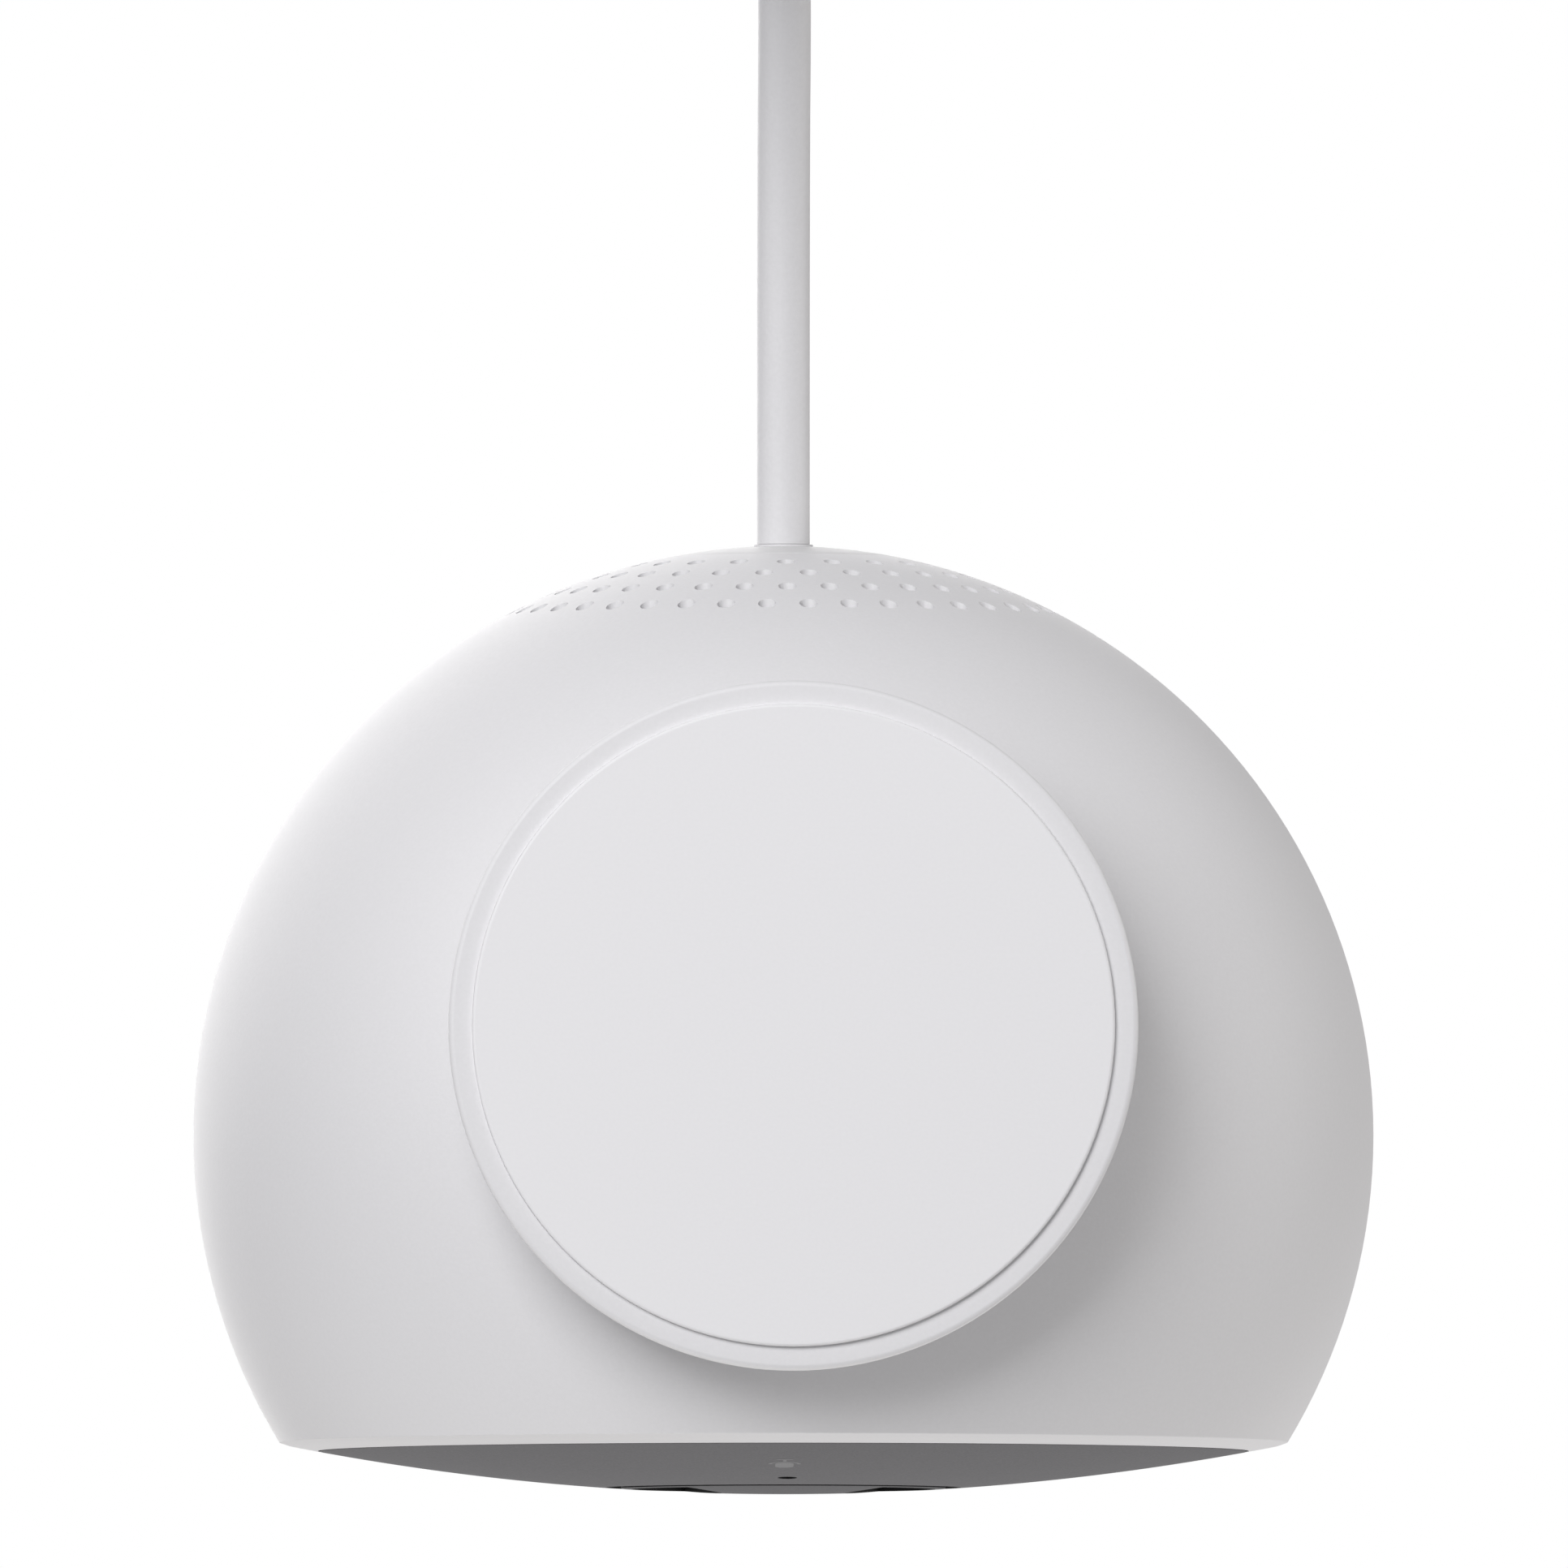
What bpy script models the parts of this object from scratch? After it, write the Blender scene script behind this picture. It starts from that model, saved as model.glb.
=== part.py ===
"""Round smart display on a disc foot, with a front dial, a rear speaker and a captive power cord.

Sizes are in metres, with +Z up. The front faces -Y, and the origin is the centre of the foot pad's
underside. The ball's parts are turned about its front-to-back axis, and a station is a distance along
that axis from the ball's centre, positive to the rear.
"""

import math

import bmesh
import bpy
from mathutils import Matrix, Vector

MM = 0.001
GAP = 0.3 * MM

# Driving dimensions
BALL_R = 52.0 * MM
WALL = 2.2 * MM
BALL_HEIGHT = 56.0 * MM
BALL_SETBACK = -8.4 * MM
FACE_CURVE_R = 226.6 * MM
FACE_APEX = -31.5 * MM
COVER_R = 41.05 * MM
COVER_THICK = 1.6 * MM
DIAL_R = 14.3 * MM
DIAL_HOLE_R = 15.6 * MM
DIAL_RIM = 0.9 * MM
BUTTON_R = 4.45 * MM
SHAFT_R = 3.0 * MM
MIC_DROP = 21.5 * MM
MIC_HOLE_R = 0.85 * MM
DISPLAY_INNER_R = 16.9 * MM
DISPLAY_OUTER_R = 38.8 * MM
REAR_CAP_R = 9.55 * MM
HOLE_R = 0.79 * MM
HOLE_ROWS = ((20, 13.34 * MM), (27, 16.80 * MM), (34, 20.27 * MM), (41, 23.71 * MM))
FOOT_R = 30.1 * MM
PAD_R = 28.05 * MM
CORD_R = 2.315 * MM
COIL_INNER_TURN_R = 19.0 * MM
COIL_OUTER_TURN_R = 33.1 * MM
COIL_CENTRE = Vector((-23.1 * MM, 145.0 * MM, 0))
ADAPTER_X = 33.0 * MM

BALL = Vector((0, BALL_SETBACK, BALL_HEIGHT))
INNER_R = BALL_R - WALL
BIG, MEDIUM, SMALL = 40, 24, 16

COLOURS = {
    "shell_white": ((0.70, 0.70, 0.72), 0.55, 0.0),
    "cap_white": ((0.66, 0.66, 0.68), 0.55, 0.0),
    "pad_white": ((0.74, 0.74, 0.75), 0.80, 0.0),
    "cord_white": ((0.62, 0.62, 0.64), 0.60, 0.0),
    "face_grey": ((0.14, 0.14, 0.15), 0.50, 0.0),
    "dial_grey": ((0.15, 0.15, 0.16), 0.45, 0.0),
    "black": ((0.01, 0.01, 0.01), 0.50, 0.0),
    "rubber": ((0.03, 0.03, 0.03), 0.85, 0.0),
    "inner_grey": ((0.25, 0.25, 0.26), 0.60, 0.0),
    "diffuser": ((0.80, 0.80, 0.78), 0.40, 0.0),
    "panel": ((0.03, 0.03, 0.05), 0.20, 0.0),
    "board_green": ((0.02, 0.13, 0.06), 0.45, 0.0),
    "tin": ((0.60, 0.60, 0.60), 0.35, 1.0),
    "aluminium": ((0.70, 0.71, 0.72), 0.40, 1.0),
    "brass": ((0.78, 0.57, 0.25), 0.30, 1.0),
    "steel": ((0.55, 0.56, 0.58), 0.35, 1.0),
    "ferrite": ((0.06, 0.06, 0.07), 0.60, 0.2),
    "cone_paper": ((0.05, 0.05, 0.05), 0.90, 0.0),
    "copper": ((0.72, 0.38, 0.22), 0.35, 1.0),
    "cloth": ((0.45, 0.45, 0.46), 0.95, 0.0),
    "ribbon": ((0.50, 0.32, 0.10), 0.40, 0.0),
}


# ---------------------------------------------------------------- tools
def clear_scene():
    for thing in list(bpy.data.objects):
        bpy.data.objects.remove(thing)


def new_collection(name):
    made = bpy.data.collections.new(name)
    bpy.context.scene.collection.children.link(made)
    return made


def material(name):
    found = bpy.data.materials.get(name)
    if found:
        return found
    colour, roughness, metallic = COLOURS[name]
    made = bpy.data.materials.new(name)
    made.use_nodes = True
    shader = made.node_tree.nodes["Principled BSDF"]
    shader.inputs["Base Color"].default_value = (*colour, 1)
    shader.inputs["Roughness"].default_value = roughness
    shader.inputs["Metallic"].default_value = metallic
    made.diffuse_color = (*colour, 1)
    return made


def add_object(name, mesh, finish, collection=None):
    thing = bpy.data.objects.new(name, mesh)
    (collection or PARTS).objects.link(thing)
    if finish:
        mesh.materials.append(material(finish))
    return thing


def face_rear(thing, place):
    """Turns the object's own Z axis to the rear, +Y, and puts it at that place."""
    thing.rotation_euler = (-math.pi / 2, 0, 0)
    thing.location = place
    return thing


def turned(name, finish, profile, segments=MEDIUM, place=None, upright=False, collection=None):
    """A turned solid from (radius, station) points that run down its outer side, from the rear."""
    mesh = bpy.data.meshes.new(name)
    points = [(radius, 0, station) for radius, station in profile]
    edges = [(i, i + 1) for i in range(len(points) - 1)]
    if profile[0][0] > 0:
        edges.append((len(points) - 1, 0))
    mesh.from_pydata(points, edges, [])
    thing = add_object(name, mesh, finish, collection)
    screw = thing.modifiers.new("turn", "SCREW")
    screw.steps = screw.render_steps = segments
    screw.use_merge_vertices = True
    screw.merge_threshold = 0.00001
    screw.use_smooth_shade = True
    if upright:
        thing.location = place or Vector()
        return thing
    return face_rear(thing, place or BALL)


def ring(inner, outer, front, rear):
    """The profile of a plain ring, or of a disc where inner is 0."""
    if inner:
        return [(outer, rear), (outer, front), (inner, front), (inner, rear)]
    return [(0, rear), (outer, rear), (outer, front), (0, front)]


def block(name, finish, low, high, bevel=0.0, collection=None):
    """A box between two corners, with rounded edges where bevel is given."""
    low, high = Vector(low), Vector(high)
    made = bmesh.new()
    bmesh.ops.create_cube(made, size=1)
    bmesh.ops.scale(made, vec=high - low, verts=made.verts)
    mesh = bpy.data.meshes.new(name)
    made.to_mesh(mesh)
    made.free()
    thing = add_object(name, mesh, finish, collection)
    thing.location = (low + high) / 2
    if bevel:
        soften(thing, bevel)
    return thing


def rod(name, finish, start, end, radius, segments=SMALL, collection=None):
    """A straight round bar between two points."""
    start, end = Vector(start), Vector(end)
    made = bmesh.new()
    bmesh.ops.create_cone(made, cap_ends=True, segments=segments, radius1=radius, radius2=radius,
                          depth=(end - start).length)
    mesh = bpy.data.meshes.new(name)
    made.to_mesh(mesh)
    made.free()
    thing = add_object(name, mesh, finish, collection)
    thing.location = (start + end) / 2
    thing.rotation_euler = (end - start).to_track_quat("Z", "Y").to_euler()
    return thing


def tube(name, finish, points, radius, resolution=2):
    """A round cord along the points."""
    line = bpy.data.curves.new(name, "CURVE")
    line.dimensions = "3D"
    line.bevel_depth = radius
    line.bevel_resolution = resolution
    line.use_fill_caps = True
    spline = line.splines.new("POLY")
    spline.points.add(len(points) - 1)
    for spot, point in zip(spline.points, points):
        spot.co = (*point, 1)
    return add_object(name, line, finish)


def soften(thing, width, segments=2):
    bevel = thing.modifiers.new("soften", "BEVEL")
    bevel.width = width
    bevel.segments = segments
    bevel.limit_method = "ANGLE"


def combine(target, tool, operation):
    change = target.modifiers.new(operation.lower(), "BOOLEAN")
    change.operation = operation
    change.object = tool
    change.solver = "EXACT"
    tool.hide_render = True
    tool.display_type = "WIRE"


def cut(target, *tools):
    for tool in tools:
        combine(target, tool, "DIFFERENCE")


def join(target, *tools):
    for tool in tools:
        combine(target, tool, "UNION")


def smooth_route(points, spacing):
    """Points read about that far apart from a smooth curve through the given ones."""
    points = [Vector(p) for p in points]
    ends = [2 * points[0] - points[1], *points, 2 * points[-1] - points[-2]]
    route = []
    for a, b, c, d in zip(ends, ends[1:], ends[2:], ends[3:]):
        count = max(1, round((c - b).length / spacing))
        for step in range(count):
            t = step / count
            route.append(0.5 * (2 * b + (c - a) * t + (2 * a - 5 * b + 4 * c - d) * t * t
                                + (3 * b - 3 * c + d - a) * t ** 3))
    return [*route, points[-1]]


def ball_arc(radius, start, end, steps):
    """(radius, station) points on a sphere, between two angles from the rear pole."""
    return [(radius * math.sin(a), radius * math.cos(a))
            for a in (start + (end - start) * i / steps for i in range(steps + 1))]


def ball_angle(radius, at):
    return math.asin(at / radius)


def face_station(radius):
    """The station of the shallow domed face at that radius."""
    return FACE_APEX + FACE_CURVE_R - math.sqrt(FACE_CURVE_R ** 2 - radius ** 2)


def face_points(start, end, steps, depth=0.0):
    """(radius, station) points on the domed face, or on the surface that far behind it."""
    return [(r, face_station(r) + depth)
            for r in (start + (end - start) * i / steps for i in range(steps + 1))]


def in_ball(x, station, up):
    """A place in the ball from its distances to the side, to the rear and up from the centre."""
    return BALL + Vector((x, station, up))


# ---------------------------------------------------------------- shell and rear
def main_shell():
    """Ball moulding with a front lip, a rear hole for the cap and four rows of sound holes."""
    lip_r = COVER_R + GAP
    lip_depth = 2.0 * MM
    cap_hole_r = REAR_CAP_R + GAP
    rim_r = 44.47 * MM
    lip_station = face_station(lip_r) + lip_depth
    front_angle = math.pi - ball_angle(BALL_R, rim_r)
    inner_front_angle = math.acos(lip_station / INNER_R)
    profile = ball_arc(BALL_R, ball_angle(BALL_R, cap_hole_r), front_angle, 13)
    profile += face_points(rim_r, lip_r, 2)[1:]
    profile.append((lip_r, lip_station))
    profile += ball_arc(INNER_R, inner_front_angle, ball_angle(INNER_R, cap_hole_r), 9)
    shell = turned("main_shell", "shell_white", profile, BIG)
    cut(shell, sound_holes(), *foot_screw_holes())
    return shell


def sound_holes():
    """One cutter with every sound hole, drilled along the front-to-back axis."""
    front, rear = 38 * MM, 54 * MM
    made = bmesh.new()
    for row, (count, radius) in enumerate(HOLE_ROWS):
        half_step = 0 if row % 2 == 0 else math.pi / count
        for k in range(count):
            angle = -math.pi / 2 + half_step + 2 * math.pi * k / count
            spot = (radius * math.cos(angle), -radius * math.sin(angle), (front + rear) / 2)
            bmesh.ops.create_cone(made, cap_ends=True, segments=6, radius1=HOLE_R, radius2=HOLE_R,
                                  depth=rear - front, matrix=Matrix.Translation(spot))
    mesh = bpy.data.meshes.new("sound_holes")
    made.to_mesh(mesh)
    made.free()
    return face_rear(add_object("sound_holes", mesh, None, CUTTERS), BALL)


def rear_cap():
    """Snap-in cap at the rear pole, with a flange behind the shell wall."""
    bore_r = 2.9 * MM
    flange_r = 12.0 * MM
    flange_thick = 1.2 * MM
    flange_ball = INNER_R - GAP
    inside = flange_ball - flange_thick
    profile = ball_arc(BALL_R, ball_angle(BALL_R, bore_r), ball_angle(BALL_R, REAR_CAP_R), 3)
    profile += ball_arc(flange_ball, ball_angle(flange_ball, REAR_CAP_R),
                        ball_angle(flange_ball, flange_r), 1)
    profile += ball_arc(inside, ball_angle(inside, flange_r), ball_angle(inside, bore_r), 2)
    turned("rear_cap", "cap_white", profile, MEDIUM)


def cord_grommet():
    """Strain relief moulded on the cord: a collar in the cap, a flange behind it and a tapered tail."""
    collar_r, flange_r, tail_r, tip_r = 2.6 * MM, 5.2 * MM, 3.5 * MM, 3.0 * MM
    proud = BALL_R + 0.12 * MM
    flange_rear, flange_front = 47.4 * MM, 45.4 * MM
    tip = 30.0 * MM
    turned("cord_grommet", "cord_white", [
        (0, proud), (collar_r, proud), (collar_r, flange_rear), (flange_r, flange_rear),
        (flange_r, flange_front), (tail_r, flange_front), (tip_r, tip), (0, tip)], SMALL)


def cord_bracket():
    """Bridge that stands on the speaker baffle and holds the strain relief."""
    half_width, half_height, leg = 14.0 * MM, 6.0 * MM, 2.4 * MM
    bar_front, bar_rear, leg_front = 36.0 * MM, 38.0 * MM, 15.8 * MM
    bracket = block("cord_bracket", "inner_grey", in_ball(-half_width, bar_front, -half_height),
                    in_ball(half_width, bar_rear, half_height))
    for side in (-1, 1):
        edges = sorted((side * half_width, side * (half_width - leg)))
        join(bracket, block(f"bracket_leg_{side}", None, in_ball(edges[0], leg_front, -half_height),
                            in_ball(edges[1], bar_front + 1 * MM, half_height), collection=CUTTERS))
    cut(bracket, rod("bracket_bore", None, in_ball(0, bar_front - 2 * MM, 0),
                     in_ball(0, bar_rear + 2 * MM, 0), 3.9 * MM, collection=CUTTERS))


def grille_cloth():
    """Acoustic cloth dome stuck inside the shell behind the sound holes."""
    outside, thick = 49.4 * MM, 0.4 * MM
    inner_r, outer_r = 12.4 * MM, 27.5 * MM
    inside = outside - thick
    profile = ball_arc(outside, ball_angle(outside, inner_r), ball_angle(outside, outer_r), 4)
    profile += ball_arc(inside, ball_angle(inside, outer_r), ball_angle(inside, inner_r), 4)
    turned("grille_cloth", "cloth", profile, MEDIUM)


# ---------------------------------------------------------------- speaker and power
def speaker():
    """A 40 mm driver that fires to the rear from a baffle plate."""
    baffle_front, baffle_rear = 13.5 * MM, 15.5 * MM
    turned("speaker_baffle", "inner_grey", ring(17.5 * MM, 46.0 * MM, baffle_front, baffle_rear), MEDIUM)
    turned("speaker_gasket", "rubber", ring(17.6 * MM, 20.0 * MM, 12.4 * MM, 13.2 * MM), MEDIUM)
    turned("speaker_basket", "steel", [
        (20.0 * MM, 12.1 * MM), (20.0 * MM, 11.1 * MM), (17.4 * MM, 11.1 * MM), (12.6 * MM, 1.0 * MM),
        (6.9 * MM, 1.0 * MM), (6.9 * MM, 2.0 * MM), (11.9 * MM, 2.0 * MM), (16.9 * MM, 12.1 * MM)], MEDIUM)
    turned("speaker_magnet", "ferrite", ring(0, 12.0 * MM, -3.3 * MM, 0.7 * MM), MEDIUM)
    turned("speaker_surround", "rubber", [
        (16.5 * MM, 12.4 * MM), (16.2 * MM, 12.1 * MM), (15.5 * MM, 13.0 * MM), (14.8 * MM, 12.1 * MM),
        (14.5 * MM, 12.4 * MM), (15.5 * MM, 13.5 * MM)], MEDIUM)
    turned("speaker_cone", "cone_paper", [
        (14.2 * MM, 12.6 * MM), (14.2 * MM, 11.9 * MM), (6.3 * MM, 5.2 * MM), (6.3 * MM, 5.9 * MM)], MEDIUM)
    turned("voice_coil", "copper", ring(5.3 * MM, 6.0 * MM, 1.9 * MM, 5.6 * MM), SMALL)
    turned("dust_cap", "cone_paper", [
        (0, 8.4 * MM), (3.6 * MM, 7.8 * MM), (6.2 * MM, 6.2 * MM), (5.5 * MM, 5.9 * MM),
        (3.4 * MM, 7.2 * MM), (0, 7.8 * MM)], SMALL)


def power_supply():
    """Board that takes the cord's supply, with its inductor and the lead from the strain relief."""
    board_front, board_rear = 20.0 * MM, 21.5 * MM
    board_top, board_bottom, half_width = -25.0 * MM, -39.0 * MM, 14.0 * MM
    block("power_board", "board_green", in_ball(-half_width, board_front, board_bottom),
          in_ball(half_width, board_rear, board_top))
    coil_r, coil_up = 4.0 * MM, -33.0 * MM
    rod("power_inductor", "ferrite", in_ball(-6 * MM, board_rear + GAP, coil_up),
        in_ball(-6 * MM, board_rear + 5 * MM, coil_up), coil_r)
    lead_r = 1.4 * MM
    route = [in_ball(0, 29.7 * MM, 0), in_ball(0, 26 * MM, -0.4 * MM), in_ball(1 * MM, 22.5 * MM, -4 * MM),
             in_ball(3 * MM, 22 * MM, -12 * MM), in_ball(5 * MM, 25 * MM, -22 * MM),
             in_ball(6 * MM, 25.5 * MM, -27 * MM), in_ball(6 * MM, 23.6 * MM, -31 * MM)]
    tube("power_lead", "black", smooth_route(route, 3.5 * MM), lead_r)


# ---------------------------------------------------------------- electronics
def chassis():
    """Front plate with four posts for the main board and a tab that the foot screws pull down."""
    front, rear = -21.2 * MM, -19.2 * MM
    plate_r, bush_hole_r = 41.5 * MM, 4.9 * MM
    frame = turned("chassis", "inner_grey", ring(bush_hole_r, plate_r, front, rear), MEDIUM)
    post_r, post_end = 2.6 * MM, -9.8 * MM
    for k, (x, up) in enumerate(post_places()):
        join(frame, rod(f"post_{k}", None, in_ball(x, front + 1 * MM, up), in_ball(x, post_end, up),
                        post_r, 12, CUTTERS))
    tab_top, tab_bottom, half_width = -39.0 * MM, -41.0 * MM, 11.0 * MM
    join(frame, block("chassis_tab", None, in_ball(-half_width, front + 0.5 * MM, tab_bottom),
                      in_ball(half_width, 12.5 * MM, tab_top), collection=CUTTERS))
    mic_window = block("mic_window", None, in_ball(-6 * MM, front - 1 * MM, -MIC_DROP - 4 * MM),
                       in_ball(6 * MM, rear + 1 * MM, -MIC_DROP + 4 * MM), collection=CUTTERS)
    cut(frame, mic_window, ribbon_slot(), *board_screw_holes(1.4 * MM, "post"), *foot_screw_holes())


def post_places():
    return [(27 * MM * math.cos(a), 27 * MM * math.sin(a))
            for a in (math.pi / 4 + math.pi / 2 * k for k in range(4))]


def board_screw_holes(radius, tag):
    return [rod(f"{tag}_bore_{k}", None, in_ball(x, -16 * MM, up), in_ball(x, -6 * MM, up), radius, 12,
                CUTTERS) for k, (x, up) in enumerate(post_places())]


def ribbon_slot():
    made = bpy.data.objects.get("ribbon_slot")
    return made or block("ribbon_slot", None, in_ball(-7 * MM, -24.5 * MM, 27.2 * MM),
                         in_ball(7 * MM, -18 * MM, 29.2 * MM), collection=CUTTERS)


def main_board():
    """Round main board on the chassis posts, with its shield, heat spreader, radio and press switch."""
    front, rear = -9.5 * MM, -8.1 * MM
    board = turned("main_board", "board_green", ring(0, 33.0 * MM, front, rear), MEDIUM)
    cut(board, *board_screw_holes(1.5 * MM, "board"))
    for k, (x, up) in enumerate(post_places()):
        shank_r, head_r, head = 1.1 * MM, 2.2 * MM, 1.4 * MM
        under_head = rear + GAP
        turned(f"board_screw_{k + 1}", "steel", [
            (0, under_head + head), (head_r, under_head + head), (head_r, under_head),
            (shank_r, under_head), (shank_r, -15.0 * MM), (0, -15.0 * MM)], 12, in_ball(x, 0, up))
    block("processor_shield", "tin", in_ball(-13 * MM, rear + GAP, -8 * MM),
          in_ball(9 * MM, -5.4 * MM, 10 * MM))
    block("heat_spreader", "aluminium", in_ball(-17 * MM, -5.1 * MM, -13 * MM),
          in_ball(14 * MM, -4.1 * MM, 13 * MM))
    block("wireless_module", "tin", in_ball(-6 * MM, rear + GAP, 18 * MM), in_ball(8 * MM, -5.8 * MM, 28 * MM))
    block("press_switch", "black", in_ball(-3 * MM, -11.1 * MM, -3 * MM), in_ball(3 * MM, front - GAP, 3 * MM))


# ---------------------------------------------------------------- display and front
def display():
    """Ring-shaped display stack behind the cover: diffuser, panel, frame, gasket and ribbon."""
    diffuser_rear = -25.4 * MM
    panel_front, panel_rear = -25.1 * MM, -23.7 * MM
    frame_front, frame_rear = -23.4 * MM, -21.8 * MM
    rim_inner, rim_outer, rim_front = 39.2 * MM, 40.6 * MM, -25.2 * MM
    gasket_front, gasket_rear = -25.9 * MM, -25.5 * MM
    behind = COVER_THICK + GAP
    profile = [(DISPLAY_OUTER_R, diffuser_rear)]
    profile += face_points(DISPLAY_OUTER_R, DISPLAY_INNER_R, 4, behind)
    profile += [(DISPLAY_INNER_R, diffuser_rear)]
    diffuser = turned("display_diffuser", "diffuser", profile, MEDIUM)
    panel = turned("display_panel", "panel",
                   ring(DISPLAY_INNER_R, DISPLAY_OUTER_R, panel_front, panel_rear), MEDIUM)
    frame = turned("display_frame", "black", [
        (rim_outer, frame_rear), (rim_outer, rim_front), (rim_inner, rim_front), (rim_inner, frame_front),
        (DISPLAY_INNER_R, frame_front), (DISPLAY_INNER_R, frame_rear)], MEDIUM)
    duct = rod("mic_duct", None, in_ball(0, -32 * MM, -MIC_DROP), in_ball(0, -21 * MM, -MIC_DROP), 1.7 * MM,
               12, CUTTERS)
    cut(diffuser, duct)
    cut(panel, duct)
    cut(frame, duct, ribbon_slot())
    turned("front_gasket", "rubber", ring(rim_inner, rim_outer, gasket_front, gasket_rear), MEDIUM)
    block("display_ribbon", "ribbon", in_ball(-6 * MM, -23.3 * MM, 28.0 * MM),
          in_ball(6 * MM, -9.8 * MM, 28.4 * MM))


def front_cover():
    """Domed dark face with the dial hole and the microphone hole."""
    profile = face_points(COVER_R, DIAL_HOLE_R, 6)
    profile += face_points(DIAL_HOLE_R, COVER_R, 4, COVER_THICK)
    cover = turned("front_cover", "face_grey", profile, BIG)
    hole = rod("mic_hole", None, in_ball(0, -33 * MM, -MIC_DROP), in_ball(0, -27 * MM, -MIC_DROP),
               MIC_HOLE_R, 12, CUTTERS)
    cut(cover, hole)


def microphone():
    """Microphone board in the chassis window, and the rubber duct from it to the cover's hole."""
    board_front, board_rear = -21.5 * MM, -20.3 * MM
    duct_front, duct_rear = -28.5 * MM, -21.8 * MM
    block("mic_board", "board_green", in_ball(-5 * MM, board_front, -MIC_DROP - 3 * MM),
          in_ball(5 * MM, board_rear, -MIC_DROP + 3 * MM))
    turned("mic_duct_boot", "rubber", ring(0.85 * MM, 1.35 * MM, duct_front, duct_rear), 12,
           in_ball(0, 0, -MIC_DROP))


# ---------------------------------------------------------------- dial
def grip_half_width(up):
    """Half the width of the grip bar, which is waisted round the button and flares to the rim."""
    waist, flare, flare_up, power = 5.4 * MM, 8.45 * MM, 10.3 * MM, 1.66
    return waist + (flare - waist) * (abs(up) / flare_up) ** power


def finger_well(side):
    """Cutter for one of the two D-shaped finger wells beside the grip bar."""
    well_r, corner_up, steps = DIAL_R - DIAL_RIM, 10.3 * MM, 8
    corner_angle = math.asin(corner_up / well_r)
    outline = []
    for k in range(steps + 1):
        angle = -corner_angle + 2 * corner_angle * k / steps
        outline.append((side * well_r * math.cos(angle), well_r * math.sin(angle)))
    for k in range(1, steps):
        up = corner_up - 2 * corner_up * k / steps
        outline.append((side * grip_half_width(up), up))
    front, rear = -34 * MM, -24 * MM
    made = bmesh.new()
    face = made.faces.new([made.verts.new((x, -up, front)) for x, up in outline])
    raised = bmesh.ops.extrude_face_region(made, geom=[face])["geom"]
    bmesh.ops.translate(made, vec=(0, 0, rear - front),
                        verts=[v for v in raised if isinstance(v, bmesh.types.BMVert)])
    bmesh.ops.recalc_face_normals(made, faces=made.faces)
    mesh = bpy.data.meshes.new("finger_well")
    made.to_mesh(mesh)
    made.free()
    return face_rear(add_object("finger_well", mesh, None, CUTTERS), BALL)


def dial():
    """Knob with its grip bar, backing plate, hollow shaft and clip, all on the dial's axis."""
    knob_rear = -26.6 * MM
    backing_front, backing_rear = -26.3 * MM, -25.5 * MM
    flange_front, flange_rear, flange_r = -25.2 * MM, -24.6 * MM, 7.0 * MM
    bore_r, shaft_rear = 1.9 * MM, -12.4 * MM
    button_bore_r = BUTTON_R + 0.2 * MM
    profile = [(DIAL_R, knob_rear), *face_points(DIAL_R, button_bore_r, 4), (button_bore_r, knob_rear)]
    knob = turned("dial_knob", "dial_grey", profile, BIG)
    cut(knob, finger_well(-1), finger_well(1))
    turned("dial_backing", "black", ring(bore_r, DIAL_R, backing_front, backing_rear), MEDIUM)
    turned("dial_shaft", "steel", [
        (SHAFT_R, shaft_rear), (SHAFT_R, flange_rear), (flange_r, flange_rear), (flange_r, flange_front),
        (bore_r, flange_front), (bore_r, shaft_rear)], MEDIUM)
    turned("dial_clip", "steel", ring(SHAFT_R + GAP, 4.8 * MM, -13.1 * MM, -12.5 * MM), MEDIUM)


def dial_button():
    """Centre button with a stem through the hollow shaft, and its return spring."""
    cap_rear, stem_rear, stem_r = -28.9 * MM, -11.8 * MM, 1.5 * MM
    profile = [(0, stem_rear), (stem_r, stem_rear), (stem_r, cap_rear), (BUTTON_R, cap_rear)]
    profile += face_points(BUTTON_R, 0, 2)
    turned("dial_button", "dial_grey", profile, MEDIUM)
    turns, steps, wire_r, coil_r = 3, 10, 0.22 * MM, 3.0 * MM
    front, rear = cap_rear + GAP + wire_r, -26.6 * MM - wire_r
    count = turns * steps
    route = [in_ball(coil_r * math.cos(2 * math.pi * k / steps), front + (rear - front) * k / count,
                     coil_r * math.sin(2 * math.pi * k / steps)) for k in range(count + 1)]
    tube("button_spring", "steel", route, wire_r, 1)


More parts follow.
